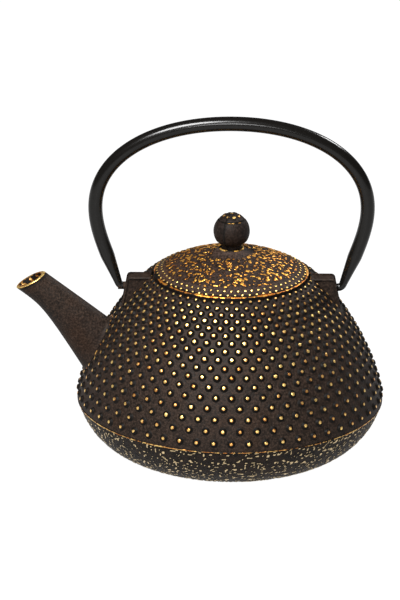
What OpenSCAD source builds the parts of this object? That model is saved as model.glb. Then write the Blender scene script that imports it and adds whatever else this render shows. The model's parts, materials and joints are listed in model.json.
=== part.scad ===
// Cast-iron teapot with a swinging bail handle, a lift-off lid with a loose ball knob,
// and a stainless tea infuser that hangs in the mouth.
// Z is up from the table, the pot's axis is at the origin and the spout points to -X.

/* [Pot] */
// Widest diameter of the pot
body_d = 172; // [156:1:208]
// Height of the mouth's edge above the table
mouth_h = 102.6; // [96:0.2:124]
// Height of the mould parting line, where the pot is widest
waist_h = 31.2; // [26:0.2:37.6]
// Diameter of the recess that takes the lid
mouth_d = 88.8; // [76:0.2:108]
// Flat width of the mouth's edge round the recess
edge_w = 0.5; // [0.3:0.1:2]
// Thickness of the cast wall
wall = 3.5; // [2.8:0.1:4.5]
// Diameter of the flat foot
foot_d = 110; // [90:1:132]
// Width of the foot ring
foot_w = 9; // [6:0.5:14]
// Height of the hollow inside the foot ring
foot_hollow = 1.5; // [0.5:0.1:2.5]
// Width of the ledge round the throat that the infuser's flange hangs on
ledge_w = 6.4; // [4:0.1:9]
// Thickness of the seat ring round the bore
seat_t = 3.4; // [2:0.1:5]

/* [Lid] */
// Radial gap between the lid and the recess
lid_gap = 0.9; // [0.5:0.1:1.6]
// Thickness of the lid's rim
rim_t = 3.6; // [3:0.1:5]
// How far the rim stands above the mouth's edge
lid_proud = 2.4; // [1.2:0.1:2.8]
// Rise of the dome above the rim
dome_rise = 11.5; // [8:0.5:14]
// Thickness of the lid's casting
lid_wall = 3; // [2.4:0.1:4]
// Radial gap between the lid's skirt and the infuser
skirt_gap = 0.7; // [0.4:0.1:1.4]
// Thickness of the lid's skirt
skirt_t = 2; // [1.5:0.1:3]
// Depth of the lid's skirt below the rim
skirt_depth = 5; // [3:0.5:8]

/* [Knob] */
// Diameter of the ball
knob_d = 19.4; // [16:0.2:24]
// Diameter of the neck under the ball
neck_d = 11; // [9:0.2:13]
// Diameter of the boss that the neck stands on
boss_d = 27; // [20:0.5:32]
// Height of the boss above the top of the dome
boss_rise = 2.4; // [1.5:0.1:4]
// Diameter of the rivet that holds the knob
rivet_d = 5; // [4:0.1:6.5]
// How far the rivet's head reaches past its shank
rivet_head = 2; // [1:0.1:3]
// Height of the rivet's head
head_h = 2.2; // [1.2:0.1:3]
// Height of the knob's neck
neck_h = 1.9; // [1:0.1:4]
// End play of the knob on the lid, at each side
knob_play = 0.2; // [0.1:0.05:0.5]
// Diameter of the washer under the lid
washer_d = 14; // [12:0.5:17]
// Thickness of the washer
washer_t = 1.2; // [0.8:0.1:2]

/* [Spout] */
// How far the pouring lip reaches past the pot's widest point
spout_reach = 34.4; // [26:0.5:42]
// Height of the pouring lip below the mouth's edge
lip_drop = 8.3; // [5:0.1:14]
// Length of the oval pouring mouth
lip_len = 18.4; // [15:0.2:22]
// Tilt of the pouring mouth from the level
lip_tilt = 29; // [15:1:40]
// Width of the spout at the lip
lip_w = 15.2; // [12:0.2:18]
// Width of the spout at the pot
root_w = 19; // [15:0.2:24]
// Height above the table where the spout's top line meets the pot
spout_top_h = 75.5; // [70:0.5:84]
// Height above the table where the spout's underside meets the pot
spout_low_h = 45.5; // [42:0.5:54]
// Wall of the spout
spout_wall = 2.4; // [1.8:0.1:3]
// How far behind the lip its underside bends
bend_back = 14.8; // [12:0.2:18]
// How far below the lip its underside bends
bend_drop = 10.8; // [8:0.2:14]

/* [Bail] */
// Height of the bail's pivot below the mouth's edge
pivot_drop = 6.6; // [5.5:0.1:8.5]
// Height of the arch's centreline above the pivot
bail_h = 95.8; // [84:0.5:116]
// Half width of the arch's centreline at its widest
bail_half_w = 76; // [70:0.2:92]
// Height of the arch's widest level above the pivot
bail_side_h = 46.7; // [40:0.5:56]
// Thickness of the bail at its top
bail_t = 8.2; // [6:0.1:9]
// Thickness of the bail at its sides
bail_side_t = 8; // [6:0.1:9]
// Inward lean of the legs at their feet, degrees
leg_lean = 20; // [12:1:28]
// Diameter of the pins at the bail's feet
pin_d = 4.2; // [3.4:0.1:5.2]
// How much thicker than its pins the bail is at its hooked feet
hook_over = 0.2; // [0.2:0.1:1.5]
// Gap between the hooks and the lugs' faces
hook_gap = 0.5; // [0.5:0.1:1.5]
// How far the bail has slid along its pins, towards +X
bail_slip = -0.2; // [-0.2:0.1:0.2]
// Length of the pins inside the lugs
pin_len = 6.5; // [5:0.1:7]
// Width of the two lugs
lug_w = 10; // [8:0.2:14]
// How far the lugs' faces stand out from the shoulder at the pivot
lug_out = 7.3; // [5.5:0.1:9]
// How far the lugs reach down below the pivot
lug_depth = 14; // [11:0.5:16]
// Slope of the lugs' faces from the vertical, degrees
lug_slope = 11; // [0:1:16]
// Radial running clearance of the pins in the lugs and of the rivet in the lid
pin_fit = 0.08; // [0.03:0.01:0.1]

/* [Infuser] */
// Thickness of the flange that hangs on the seat ring
flange_t = 1; // [0.8:0.1:1.6]
// Radial gap between the infuser and the throat
basket_gap = 0.8; // [0.5:0.1:1.5]
// Thickness of the sheet metal
sheet_t = 0.6; // [0.5:0.05:0.8]
// Thickness of the woven mesh
mesh_t = 0.5; // [0.4:0.05:0.8]
// Depth of the basket below the seat ring's face
basket_depth = 42; // [34:0.5:50]
// Height of the sheet collar at the top of the basket
collar_h = 9; // [7:0.5:12]
// Height of the sheet cap at the foot of the basket
cap_h = 6; // [4:0.5:9]
// Width of the cap's lip under the base mesh
cap_lip = 5; // [3:0.5:8]

/* [Hidden] */

$fn = 96;
cut = 1;            // how far a cut runs past the face it opens
curve_steps = 18;   // chords in each long curve of a profile
corner_steps = 6;   // chords in each small round
play = 0.1;         // clearance between nested pieces of the basket, and of the rivet in its washer
knob_fit = 0.02;    // clearance of the rivet in the knob, which it holds fast

iron_color = "#2b231d";
gold_color = "#c08a3c";
bail_color = "#17181a";
steel_color = "#b9bcbe";

// Curves ------------------------------------------------------------------------------

// Point on the cubic curve p at t, and its direction there
function on_curve(p, t) = pow(1 - t, 3) * p[0] + 3 * t * pow(1 - t, 2) * p[1]
                        + 3 * t * t * (1 - t) * p[2] + pow(t, 3) * p[3];
function along_curve(p, t) = let (d = pow(1 - t, 2) * (p[1] - p[0])
                        + 2 * t * (1 - t) * (p[2] - p[1]) + t * t * (p[3] - p[2])) d / norm(d);
// Unit vector that leans a degrees outwards while it runs down
function down(a) = [sin(a), -cos(a)];
// Parameter at which a falling curve passes the height z
function t_at(p, z, lo = 0, hi = 1, n = 24) = n == 0 ? (lo + hi) / 2 :
    on_curve(p, (lo + hi) / 2)[1] > z ? t_at(p, z, (lo + hi) / 2, hi, n - 1)
                                      : t_at(p, z, lo, (lo + hi) / 2, n - 1);
// Points of a curve moved sideways by d, towards the pot's axis and its middle
function inner_points(p, d) = [for (i = [0 : curve_steps])
    let (t = i / curve_steps, v = along_curve(p, t)) on_curve(p, t) + d * [v[1], -v[0]]];
function curve_points(p) = inner_points(p, 0);

// Pot's outline -----------------------------------------------------------------------

body_r = body_d / 2;
foot_r = foot_d / 2;
edge_r = mouth_d / 2 + edge_w;
shoulder_slope = 56;     // slopes from the vertical, outwards, at the ends of each curve
skirt_slope = 9.5;
bowl_slope = -16.4;
heel_slope = -60;
bell_pull = [0.16, 0.37];     // lengths of each curve's two handles, as shares of its chord
bowl_pull = [0.584, 0.134];

bell_chord = norm([body_r - edge_r, mouth_h - waist_h]);
bell = [[edge_r, mouth_h],
        [edge_r, mouth_h] + bell_pull[0] * bell_chord * down(shoulder_slope),
        [body_r, waist_h] - bell_pull[1] * bell_chord * down(skirt_slope),
        [body_r, waist_h]];
parting_band = 1;         // upright band at the widest level, under the parting line
bowl_top = waist_h - parting_band;
bowl_chord = norm([body_r - foot_r, bowl_top]);
bowl = [[body_r, bowl_top],
        [body_r, bowl_top] + bowl_pull[0] * bowl_chord * down(bowl_slope),
        [foot_r, 0] - bowl_pull[1] * bowl_chord * down(heel_slope),
        [foot_r, 0]];
function shoulder_r(z) = on_curve(bell, t_at(bell, z))[0];

// Levels at the mouth -----------------------------------------------------------------

rim_top = mouth_h + lid_proud;
rim_low = rim_top - rim_t;
seat_h = rim_low - flange_t;
seat_low = seat_h - seat_t;
throat_r = mouth_d / 2 - ledge_w;
floor_h = foot_hollow + wall;
slant = 1.3;              // how much wider the wall is level than square, at the shoulder
heel_in = 1;              // how far the hollow's floor stops short of the foot's edge

// Spout's outline, in the XZ plane with the spout towards -X ---------------------------

lip = [-body_r - spout_reach, mouth_h - lip_drop];
lip_top = lip + lip_len * [cos(lip_tilt), sin(lip_tilt)];
top_root = [-shoulder_r(spout_top_h), spout_top_h];
low_root = [-shoulder_r(spout_low_h), spout_low_h];
throat_bend = lip + [bend_back, -bend_drop];
sunk = 9;                 // how far the spout starts inside the pot's wall
bore_sunk = sunk + 8;     // how far its bore starts inside, clear of the wall
bore_ahead = 4;           // how far its bore runs past the lip
top_dir = (lip_top - top_root) / norm(lip_top - top_root);
low_dir = (throat_bend - low_root) / norm(throat_bend - low_root);
function spout_top(t, back) = let (from = top_root - back * top_dir) from + t * (lip_top - from);
function spout_low(t, back) = let (from = low_root - back * low_dir)
    on_curve([from, throat_bend, throat_bend, lip], t);

// Bail's centreline, in the XZ plane, for the +X half -----------------------------------

pivot_h = mouth_h - pivot_drop;
lug_face = shoulder_r(pivot_h) + lug_out;    // at the pivot's height
pin_r = pin_d / 2;
hook_t = pin_d + hook_over;
hook_r = 2.8;                                // bend between the leg and the pin
pin_end = lug_face - pin_len;
pin_root = 0.4;                              // how far past the hook's middle each pin starts
hole_spare = 0.6;                            // depth of the lug's hole past the pin's end
hook_x = lug_face + hook_gap + hook_t / 2 * tan(lug_slope);
hook_top = [hook_x + hook_r * cos(leg_lean), pivot_h + hook_r - hook_r * sin(leg_lean)];
bail_top = [0, pivot_h + bail_h];
bail_side = [bail_half_w, pivot_h + bail_side_h];
arch_pull = 0.59;                            // slightly squarer than an ellipse's 0.552
arch = [bail_top, bail_top + [arch_pull * bail_half_w, 0],
        bail_side + [0, arch_pull * (bail_h - bail_side_h)], bail_side];
leg_len = norm(bail_side - hook_top);
leg_pull = [0.3, 0.42];
leg = [bail_side, bail_side - [0, leg_pull[0] * leg_len],
       hook_top + leg_pull[1] * leg_len * [sin(leg_lean), cos(leg_lean)], hook_top];
foot_taper = 0.35;                           // share of the leg before its taper starts
function leg_t(t) = t < foot_taper ? bail_side_t
    : bail_side_t + (hook_t - bail_side_t) * (t - foot_taper) / (1 - foot_taper);
arch_steps = 14;
leg_steps = 9;
hook_steps = 5;
half_bail = concat(
    [for (i = [0 : arch_steps]) let (t = i / arch_steps)
        [on_curve(arch, t), along_curve(arch, t), bail_t + (bail_side_t - bail_t) * t]],
    [for (i = [1 : leg_steps]) let (t = i / leg_steps)
        [on_curve(leg, t), along_curve(leg, t), leg_t(t)]],
    [for (i = [1 : hook_steps]) let (a = leg_lean + (90 - leg_lean) * i / hook_steps)
        [[hook_x, pivot_h + hook_r] + hook_r * [cos(a), -sin(a)], [-sin(a), -cos(a)], hook_t]]);

// Infuser -------------------------------------------------------------------------------

basket_r = throat_r - basket_gap;            // outside of the sheet metal
mesh_r = basket_r - sheet_t - play;          // outside of the mesh wall
basket_low = seat_h - basket_depth;
base_mesh_low = basket_low + sheet_t;
mesh_low = base_mesh_low + mesh_t;
skirt_r = mesh_r - mesh_t - skirt_gap;

// Lid and knob --------------------------------------------------------------------------

lid_r = mouth_d / 2 - lid_gap;
rim_round = 0.8;
dome_r = lid_r - rim_round;
dome_ball = (dome_r * dome_r + dome_rise * dome_rise) / (2 * dome_rise);
dome_mid = rim_top + dome_rise - dome_ball;
boss_top = rim_top + dome_rise + boss_rise;
boss_r = boss_d / 2;
neck_r = neck_d / 2;
flat_drop = 1;                               // how far the flat face under the boss lies below the dome's
under_flat = rim_top + dome_rise - lid_wall - flat_drop;
flat_r = washer_d / 2 + 1.5;
skirt_in = skirt_r - skirt_t;
step_in = 1.5;                               // width of the boss's flat top round the neck
step_drop = 0.8;                             // height of the step at its edge
knob_low = boss_top + knob_play;
ball_mid = knob_low + neck_h + sqrt(knob_d * knob_d / 4 - neck_r * neck_r);
rivet_r = rivet_d / 2;
rivet_top = ball_mid;
washer_top = under_flat - knob_play;
washer_low = washer_top - washer_t;
head_r = rivet_r + rivet_head;
head_lap = 0.5;                              // how far the shank runs into the head
function dome_z(r) = dome_mid + sqrt(dome_ball * dome_ball - r * r);

// Solids --------------------------------------------------------------------------------

// Closed skin through rings that all have the same number of points
module loft(rings) {
    n = len(rings[0]);
    m = len(rings);
    polyhedron(
        points = [for (ring = rings) each ring],
        faces = concat(
            [[for (i = [0 : n - 1]) i]],
            [[for (i = [n - 1 : -1 : 0]) (m - 1) * n + i]],
            [for (k = [0 : m - 2], i = [0 : n - 1]) let (a = k * n + i, b = k * n + (i + 1) % n)
                each [[a, a + n, b], [b, a + n, b + n]]]));
}

// Oval tube between the spout's two lines, inset all round, with ends moved along it
module spout_solid(inset, back, ahead) {
    steps = 12;
    sides = 24;
    lip_dir = (top_dir + (lip - throat_bend) / norm(lip - throat_bend)) / 2;
    stations = concat([for (i = [0 : steps]) i / steps], ahead > 0 ? [1] : []);
    loft([for (k = [0 : len(stations) - 1])
        let (t = stations[k],
             past = k > steps ? ahead * lip_dir : [0, 0],
             top = spout_top(t, back) + past,
             low = spout_low(t, back) + past,
             mid = (top + low) / 2,
             half = norm(top - low) / 2 - inset,
             v = (top - low) / norm(top - low),
             w = (root_w + (lip_w - root_w) * t) / 2 - inset)
        [for (i = [0 : sides - 1]) let (a = 360 * i / sides, q = mid + half * cos(a) * v)
            [q[0], w * sin(a), q[1]]]]);
}

module lug(side) {
    top = mouth_h;
    low = pivot_h - lug_depth;
    corner = 2.2;
    heel = 6;       // how much higher the lug's foot is under the mouth's edge
    face = function(z) lug_face + (pivot_h - z) * tan(lug_slope);
    round_h = top - corner;
    round_at = [face(round_h + corner * sin(lug_slope)) - corner * cos(lug_slope), round_h];
    outline = concat(
        [[edge_r, top]],
        [for (i = [0 : corner_steps]) let (a = 90 - (90 - lug_slope) * i / corner_steps)
            round_at + corner * [cos(a), sin(a)]],
        [[face(low), low], [face(low) - lug_out - wall, low], [edge_r, low + heel]]);
    translate([0, lug_w / 2, 0]) rotate([90, 0, 0]) linear_extrude(lug_w)
        polygon([for (p = outline) [side * p[0], p[1]]]);
}

module pot_shell() {
    rotate_extrude()
        polygon(concat([[0, mouth_h], [edge_r, mouth_h]],
            [for (i = [1 : curve_steps]) curve_points(bell)[i]],
            curve_points(bowl), [[0, 0]]));
}

module pot_hollow() {
    inside = concat(inner_points(bell, wall), inner_points(bowl, wall));
    rotate_extrude()
        polygon(concat([[0, seat_low]],
            [[shoulder_r(seat_low) - wall * slant, seat_low]],
            [for (p = inside) if (p[1] < seat_low - 1 && p[1] > floor_h + 1) p],
            [[foot_r - heel_in, floor_h], [0, floor_h]]));
}

// The pot's casting is drawn as three solids that meet face to face: the bowl under the
// parting line, the bell above it, and the spout outside the bell's wall

module below_parting(past) translate([0, 0, -past]) cylinder(r = body_d, h = bowl_top + past);

module pot_bowl() color(iron_color) difference() {
    intersection() {
        pot_shell();
        below_parting(0);
    }
    pot_hollow();
    translate([0, 0, -cut]) cylinder(r = foot_r - foot_w, h = foot_hollow + cut);
}

module spout() color(iron_color) difference() {
    spout_solid(0, sunk, 0);
    pot_shell();
    spout_solid(spout_wall, bore_sunk, bore_ahead);
}

module pot_bell() color(iron_color) difference() {
    union() {
        pot_shell();
        for (side = [-1, 1]) lug(side);
    }
    below_parting(cut);
    pot_hollow();
    translate([0, 0, seat_low - cut]) cylinder(r = throat_r, h = seat_t + 2 * cut);
    translate([0, 0, seat_h]) cylinder(r = mouth_d / 2, h = rim_top - seat_h);
    spout_solid(spout_wall, bore_sunk, bore_ahead);
    for (side = [-1, 1]) translate([side * (pin_end - hole_spare), 0, pivot_h]) rotate([0, 90 * side, 0])
        cylinder(r = pin_r + pin_fit, h = hook_x + cut - pin_end + hole_spare);
}

module bail_handle() color(bail_color) translate([bail_slip, 0, 0]) {
    sides = 14;
    n = len(half_bail);
    // from the -X foot over the top to the +X foot
    path = concat(
        [for (i = [n - 1 : -1 : 1]) let (s = half_bail[i])
            [[-s[0][0], s[0][1]], [s[1][0], -s[1][1]], s[2]]],
        half_bail);
    loft([for (s = path) let (normal = [-s[1][1], s[1][0]])
        [for (i = [0 : sides - 1]) let (a = 360 * i / sides, q = s[0] + s[2] / 2 * cos(a) * normal)
            [q[0], -s[2] / 2 * sin(a), q[1]]]]);
    for (side = [-1, 1]) translate([side * pin_end, 0, pivot_h]) rotate([0, 90 * side, 0])
        cylinder(r = pin_r, h = hook_x + pin_root - pin_end);
}

module lid() color(gold_color) difference() {
    rotate_extrude() polygon(concat(
        [[0, boss_top], [neck_r + step_in, boss_top], [neck_r + step_in + step_drop, boss_top - step_drop]],
        [[(neck_r + boss_r) / 2 + 1, (boss_top + dome_z(boss_r)) / 2 - 0.5]],
        [for (i = [0 : curve_steps]) let (r = boss_r + (dome_r - boss_r) * i / curve_steps)
            [r, dome_z(r)]],
        [for (i = [1 : corner_steps]) let (a = 90 - 90 * i / corner_steps)
            [dome_r + rim_round * cos(a), rim_top - rim_round + rim_round * sin(a)]],
        [[lid_r, rim_low], [skirt_r, rim_low], [skirt_r, rim_low - skirt_depth],
         [skirt_in, rim_low - skirt_depth]],
        [for (i = [curve_steps : -1 : 0]) let (r = flat_r + (skirt_in - flat_r) * i / curve_steps)
            [r, min(dome_z(r) - lid_wall, under_flat)]],
        [[0, under_flat]]));
    translate([0, 0, under_flat - cut])
        cylinder(r = rivet_r + pin_fit, h = boss_top - under_flat + 2 * cut);
}

module lid_knob() color(iron_color) difference() {
    union() {
        translate([0, 0, ball_mid]) sphere(d = knob_d);
        translate([0, 0, knob_low]) cylinder(r = neck_r, h = ball_mid - knob_low);
    }
    translate([0, 0, knob_low - cut]) cylinder(r = rivet_r + knob_fit, h = rivet_top - knob_low + cut);
}

module knob_rivet() color(steel_color) {
    translate([0, 0, washer_low - head_lap])
        cylinder(r = rivet_r, h = rivet_top - play - (washer_low - head_lap));
    head_ball = (head_r * head_r + head_h * head_h) / (2 * head_h);
    intersection() {
        translate([0, 0, washer_low - head_h + head_ball]) sphere(r = head_ball);
        translate([0, 0, washer_low - head_h - cut]) cylinder(r = head_r + cut, h = head_h + cut);
    }
}

module knob_washer() color(steel_color)
    translate([0, 0, washer_low]) difference() {
        cylinder(d = washer_d, h = washer_t);
        translate([0, 0, -cut]) cylinder(r = rivet_r + play, h = washer_t + 2 * cut);
    }

module ring(outer, inner, low, high) translate([0, 0, low]) difference() {
    cylinder(r = outer, h = high - low);
    translate([0, 0, -cut]) cylinder(r = inner, h = high - low + 2 * cut);
}

module infuser_rim() color(steel_color) {
    ring(lid_r, basket_r - sheet_t, seat_h, rim_low);
    ring(basket_r, basket_r - sheet_t, seat_h - collar_h, seat_h + flange_t / 2);
}

module infuser_mesh_wall() color(steel_color)
    ring(mesh_r, mesh_r - mesh_t, mesh_low, seat_h + flange_t / 2);

module infuser_base_mesh() color(steel_color)
    translate([0, 0, base_mesh_low]) cylinder(r = mesh_r, h = mesh_t);

module infuser_base_cap() color(steel_color) {
    ring(basket_r, basket_r - sheet_t, basket_low, basket_low + cap_h);
    ring(basket_r - sheet_t / 2, basket_r - cap_lip, basket_low, base_mesh_low);
}

pot_bowl();
pot_bell();
spout();
bail_handle();
lid();
lid_knob();
knob_rivet();
knob_washer();
infuser_rim();
infuser_mesh_wall();
infuser_base_mesh();
infuser_base_cap();
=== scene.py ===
"""Looks of a cast-iron teapot: hobnail bell, gold-rubbed lid, swinging bail and a lift-out tea infuser."""

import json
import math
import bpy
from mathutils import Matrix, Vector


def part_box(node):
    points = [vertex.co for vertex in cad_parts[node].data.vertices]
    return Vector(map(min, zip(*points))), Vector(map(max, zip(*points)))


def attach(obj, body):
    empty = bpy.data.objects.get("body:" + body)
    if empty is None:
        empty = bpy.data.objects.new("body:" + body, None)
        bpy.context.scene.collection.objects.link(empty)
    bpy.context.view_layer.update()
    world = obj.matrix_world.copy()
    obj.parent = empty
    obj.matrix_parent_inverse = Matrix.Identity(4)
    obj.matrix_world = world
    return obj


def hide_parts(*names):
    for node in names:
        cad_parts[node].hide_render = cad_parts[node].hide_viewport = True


bl_info = {
    "name": "Cast-iron hobnail teapot",
    "version": (1, 0, 0),
    "blender": (4, 5, 0),
    "location": "3D View > Sidebar > Teapot",
    "description": "Builds the teapot's castings, bail, infuser and a plain studio round its CAD frame",
    "category": "Add Mesh",
}

import bmesh
import bpy
from bpy.props import FloatProperty, FloatVectorProperty, IntProperty, PointerProperty
from mathutils import Matrix, Vector, noise

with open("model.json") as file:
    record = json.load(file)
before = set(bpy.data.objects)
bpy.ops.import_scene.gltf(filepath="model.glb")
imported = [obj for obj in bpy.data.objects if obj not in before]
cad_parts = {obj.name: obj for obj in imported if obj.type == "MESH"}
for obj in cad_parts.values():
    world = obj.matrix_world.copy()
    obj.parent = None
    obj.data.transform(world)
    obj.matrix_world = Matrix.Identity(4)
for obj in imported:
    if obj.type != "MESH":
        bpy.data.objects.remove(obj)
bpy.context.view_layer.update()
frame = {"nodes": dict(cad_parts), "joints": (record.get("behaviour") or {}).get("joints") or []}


# Frame's own sizes, in metres ----------------------------------------------------------

MM = 0.001
FULL_TURN = 2 * math.pi


def joint(name):
    """The frame's joint of that name."""
    return next(j for j in frame["joints"] if j["name"] == name)


def linear(hex_color):
    """sRGB hex to linear RGB."""
    parts = [int(hex_color[i : i + 2], 16) / 255 for i in (0, 2, 4)]
    return tuple(c / 12.92 if c <= 0.04045 else ((c + 0.055) / 1.055) ** 2.4 for c in parts)


BODY_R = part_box("pot_bowl")[1].x
PARTING_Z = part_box("pot_bowl")[1].z
MOUTH_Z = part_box("pot_bell")[1].z
LID_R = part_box("lid")[1].x
LID_LOW, LID_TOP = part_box("lid")[0].z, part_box("lid")[1].z
KNOB_LOW, KNOB_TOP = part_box("lid_knob")[0].z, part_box("lid_knob")[1].z
BALL_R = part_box("lid_knob")[1].x
LIP_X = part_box("spout")[0].x
BAIL_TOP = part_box("bail_handle")[1].z
PIVOT_Z = joint("bail_swing")["pos_m"][2]
FLANGE_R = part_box("infuser_rim")[1].x
FLANGE_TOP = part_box("infuser_rim")[1].z
COLLAR_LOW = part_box("infuser_rim")[0].z
MESH_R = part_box("infuser_mesh_wall")[1].x
MESH_LOW, MESH_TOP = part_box("infuser_mesh_wall")[0].z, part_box("infuser_mesh_wall")[1].z
CAP_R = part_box("infuser_base_cap")[1].x
CAP_LOW, CAP_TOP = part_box("infuser_base_cap")[0].z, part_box("infuser_base_cap")[1].z
BASE_LOW, BASE_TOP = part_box("infuser_base_mesh")[0].z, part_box("infuser_base_mesh")[1].z

# Sizes that the boxes don't give, as the CAD sets them
WALL = 3.5 * MM
MOUTH_R = 44.4 * MM
EDGE_R = MOUTH_R + 0.5 * MM
FLANGE_T = 1 * MM
SEAT_Z = FLANGE_TOP - FLANGE_T
SEAT_T = 3.4 * MM
THROAT_R = MOUTH_R - 6.4 * MM
FOOT_R = 55 * MM
FOOT_W = 9 * MM
FOOT_HOLLOW = 1.5 * MM
FLOOR_Z = FOOT_HOLLOW + WALL
PARTING_BAND = 1 * MM
RIM_T = 3.6 * MM
SHEET_T = 0.6 * MM
MESH_T = 0.5 * MM
LUG_W = 10 * MM
LUG_DEPTH = 14 * MM
LUG_SLOPE = math.radians(11)
LUG_OUT = 7.3 * MM
PIN_R = 2.1 * MM
PIN_LEN = 6.5 * MM
PIN_FIT = 0.08 * MM


# Settings ------------------------------------------------------------------------------


def size(name, text, millimetres):
    return FloatProperty(name=name, description=text, default=millimetres * MM, min=0, unit="LENGTH",
                         precision=5)


def color(name, text, hex_color):
    return FloatVectorProperty(name=name, description=text, default=linear(hex_color), size=3, min=0, max=1,
                               subtype="COLOR")


def count(name, text, number):
    return IntProperty(name=name, description=text, default=number, min=1)


def angle(name, text, degrees):
    return FloatProperty(name=name, description=text, default=math.radians(degrees), subtype="ANGLE")


class PotSettings(bpy.types.PropertyGroup):
    iron: color("Iron", "Brown-black lacquer between the hobnails", "1e1611")
    # Painted shade: this near-black is painted on the hobnails' flanks and round their feet, and on the
    # flanks of other relief, in place of their shadows. It also darkens the pits of the sand grain.
    dark_grain_and_painted_shade: color("Flanks", "Thicker, darker lacquer on the hobnails' flanks", "0a0705")
    gold: color("Gold", "Gold rubbed on the hobnails' tips", "eacb7c")
    speck: color("Specks", "Pale gold rubbed on the bowl's relief", "c8b188")
    worn: color("Worn gold", "Browner gold where the rubbing is thin", "a8672c")
    lining: color("Lining", "Black enamel inside the pot", "0d0c0c")
    hobnail_rows: count("Rows", "Rows of hobnails on the bell", 17)
    hobnails_round: count("Hobnails in a row", "Hobnails in each row", 56)
    hobnail_d: size("Hobnail diameter", "Width of a hobnail at its foot", 4.8)
    hobnail_h: size("Hobnail height", "Height of a hobnail", 1.45)
    first_step: size("First row step", "Drop from the first row of hobnails to the second", 2.57)
    relief: size("Bowl relief", "Height of the bowl's speckled relief", 0.32)
    speck_size: size("Speck size", "Usual length of a gold speck on the bowl", 1.5)
    ridge: size("Parting ridge", "Height of the ridge at the mould's parting line", 0.5)
    fillet: size("Spout fillet", "Radius where the spout runs into the bell", 2.2)


class LidSettings(bpy.types.PropertyGroup):
    iron: color("Iron", "Brown-black lacquer on the lid", "291f1a")
    gold: color("Gold", "Yellow gold rubbed on the lid's relief", "e8ae4e")
    worn: color("Worn gold", "Orange gold where the rubbing is thin", "b96a26")
    relief: size("Relief", "Height of the mottled relief", 0.35)
    blotch: size("Blotch size", "Usual width of a gold blotch", 1.75)
    dots_round: count("Dots in a row", "Small dots in each row near the rim", 64)
    dot_d: size("Dot diameter", "Width of a dot", 1.9)
    dot_h: size("Dot height", "Height of a dot", 0.45)


class KnobSettings(bpy.types.PropertyGroup):
    iron: color("Iron", "Brown-black lacquer on the knob", "150f0c")
    dot_d: size("Dot diameter", "Width of a dot on the knob's crown", 2.7)
    dot_h: size("Dot height", "Height of a dot on the knob's crown", 0.35)
    seam: size("Seam", "Height of the casting seams", 0.45)
    skin: size("Skin", "How far the ball's lacquered skin stands outside the CAD ball", 0.5)


class BailSettings(bpy.types.PropertyGroup):
    enamel: color("Enamel", "Black stoved enamel on the bail", "080706")
    half_width: size("Half width", "Half width of the arch's centreline", 76)
    side_rise: size("Side height", "Height of the arch's widest level above the pivot", 46.7)
    top_t: size("Top thickness", "Thickness of the bail at its top", 8.2)
    side_t: size("Side thickness", "Thickness of the bail at its sides", 8)
    hook_t: size("Hook thickness", "Thickness of the bail at its hooked feet", 4.4)


class InfuserSettings(bpy.types.PropertyGroup):
    sheet: color("Sheet", "Deep-drawn stainless sheet", "c9cac8")
    wire: color("Wire", "Woven stainless wire", "b5b6b4")
    pitch: size("Wire spacing", "Distance from one wire of the mesh to the next", 1.5)
    wire_d: size("Wire thickness", "Thickness of a wire of the mesh", 0.45)


class StageSettings(bpy.types.PropertyGroup):
    floor: color("Floor", "Body colour of the sheet under the pot", "303030")
    glow: count("Glow", "How bright the sheet shines, 1 being white", 1)
    height_angle: angle("Camera height", "How far above the horizon the camera stands", 20.25)
    roll: angle("Camera roll", "Turn of the camera about its own line of sight", 0.5)
    lens: FloatProperty(name="Lens", description="Focal length", default=276, subtype="DISTANCE_CAMERA")
    distance: size("Camera distance", "From the camera to the lid", 2580)
    aim_right: size("Aim right", "How far right of the view's middle the lid stands", 17.5)
    aim_up: size("Aim up", "How far above the view's middle the lid stands", 16.2)


SETTINGS = {"teapot_pot": PotSettings, "teapot_lid": LidSettings, "teapot_knob": KnobSettings,
            "teapot_bail": BailSettings, "teapot_infuser": InfuserSettings, "teapot_stage": StageSettings}


# Curves --------------------------------------------------------------------------------


def lean(degrees):
    """Unit vector in (r, z) that leans outwards by so many degrees while it runs down."""
    a = math.radians(degrees)
    return Vector((math.sin(a), -math.cos(a)))


def on_curve(p, t):
    """Point of a cubic curve with the four points p."""
    u = 1 - t
    return u**3 * p[0] + 3 * t * u * u * p[1] + 3 * t * t * u * p[2] + t**3 * p[3]


def along_curve(p, t):
    """Direction of the same curve."""
    u = 1 - t
    return (u * u * (p[1] - p[0]) + 2 * t * u * (p[2] - p[1]) + t * t * (p[3] - p[2])).normalized()


def cubic(a, b, lean_a, lean_b, pull_a, pull_b):
    """Curve from a down to b with the given leans, its handles as shares of its chord."""
    chord = (b - a).length
    return [a, a + pull_a * chord * lean(lean_a), b - pull_b * chord * lean(lean_b), b]


def polar(r, turn, z):
    """Point or direction at radius r and height z, turned about Z from +X."""
    return Vector((r * math.cos(turn), r * math.sin(turn), z))


def smooth(value, low, high):
    """0 below low, 1 above high, and a soft step between."""
    t = min(1, max(0, (value - low) / (high - low)))
    return t * t * (3 - 2 * t)


def solve(function, low, high, steps=40):
    """Where a rising function crosses zero."""
    for _ in range(steps):
        middle = (low + high) / 2
        if function(middle) > 0:
            high = middle
        else:
            low = middle
    return (low + high) / 2


WAIST_Z = PARTING_Z + PARTING_BAND
BELL = cubic(Vector((EDGE_R, MOUTH_Z)), Vector((BODY_R, WAIST_Z)), 56, 9.5, 0.16, 0.37)
BOWL = cubic(Vector((BODY_R, PARTING_Z)), Vector((FOOT_R, 0)), -16.4, -60, 0.584, 0.134)


def bell_t(z):
    """Share of the bell's curve at height z."""
    return solve(lambda t: z - on_curve(BELL, t).y, 0, 1)


def bell_r(z):
    """Outer radius of the bell at height z."""
    return on_curve(BELL, bell_t(z)).x


def bell_normal(z):
    """Outward normal of the bell in (r, z)."""
    d = along_curve(BELL, bell_t(z))
    return Vector((-d.y, d.x))


FACE_X = bell_r(PIVOT_Z) + LUG_OUT  # a lug's face at the pivot


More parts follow.
